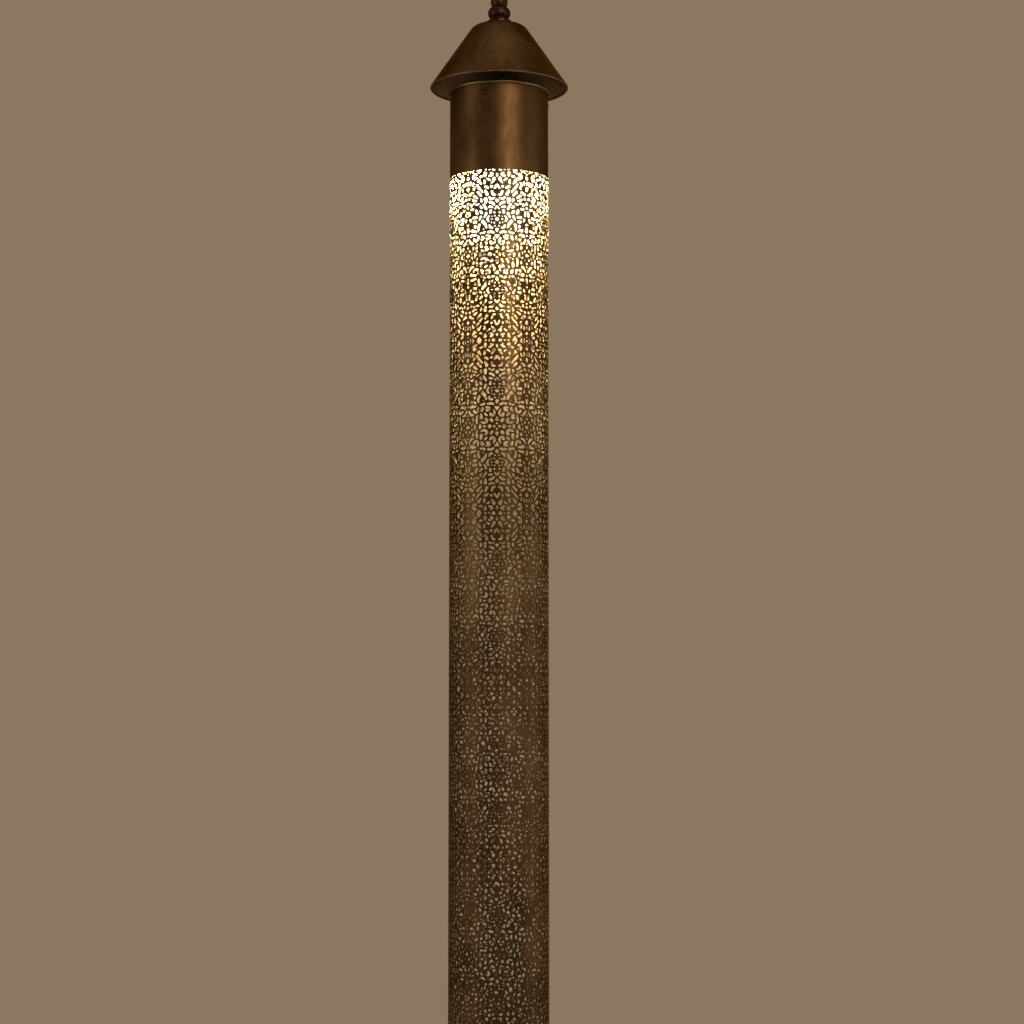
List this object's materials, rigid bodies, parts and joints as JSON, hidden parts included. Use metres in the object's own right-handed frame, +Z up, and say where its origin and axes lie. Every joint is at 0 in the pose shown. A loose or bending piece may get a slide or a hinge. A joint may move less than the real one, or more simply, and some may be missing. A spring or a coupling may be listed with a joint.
{
  "type": "pendant lamp",
  "caption": "Pendant lamp: a long brass tube pierced with an arabesque, under a spun conical cap with a turned finial, hung on a ring, with a screw-in bulb inside.",
  "frame": {"origin": "inside top of the hanging ring, where the hook bears", "axes": "+Z up along the tube; -Y is the side that the picture shows; the hanging ring lies in the XZ plane"},
  "size_m": [0.1408, 0.1408, 1.1555],
  "materials": {
    "brass_dark": "dark aged brass with a soft sheen",
    "brass_bright": "plain turned brass",
    "steel": "zinc-plated steel",
    "rubber": "black rubber",
    "porcelain": "glazed white porcelain",
    "black_glass": "black vitrite glass",
    "solder": "soft solder",
    "bulb_glass": "clear glass",
    "wire": "nickel wire",
    "glow": "lit filament, warm white"
  },
  "bodies": {
    "hanger": {"hanging_ring": "brass_dark"},
    "lamp": {"cap": "brass_dark", "cap_nut": "steel", "cap_washer": "steel", "centre_contact": "brass_bright", "earth_nut": "brass_bright", "earth_screw": "brass_bright", "earth_washer": "steel", "finial": "brass_dark", "gallery": "brass_dark", "gallery_nuts": "steel", "gallery_washers": "steel", "hanging_loop": "brass_dark", "holder_body": "brass_bright", "holder_cap": "brass_bright", "holder_insert": "porcelain", "holder_ring": "brass_bright", "holder_shell": "brass_bright", "hollow_rod": "steel", "inlet_bush": "rubber", "terminal_screws": "steel"},
    "tube": {"tube": "brass_dark", "top_bead": "brass_dark", "bottom_bead": "brass_dark", "clamp_screws": "brass_dark", "clamp_nuts": "steel"},
    "bulb": {"bulb_glass": "bulb_glass", "bulb_base": "brass_bright", "bulb_insulator": "black_glass", "bulb_contact": "solder", "bulb_stem": "bulb_glass", "bulb_wires": "wire", "filaments": "glow"}
  },
  "joints": [
    {"name": "lamp_swing", "type": "hinge", "parent": "hanger", "child": "lamp", "pos_m": [0, 0, -0.02], "axis": [1, 0, 0], "range_deg": [-75, 75]},
    {"name": "tube_drop", "type": "slide", "parent": "lamp", "child": "tube", "axis": [0, 0, -1], "range_m": [0, 0.2]},
    {"name": "bulb_out", "type": "slide", "parent": "lamp", "child": "bulb", "axis": [0, 0, -1], "range_m": [0, 0.035]}
  ]
}
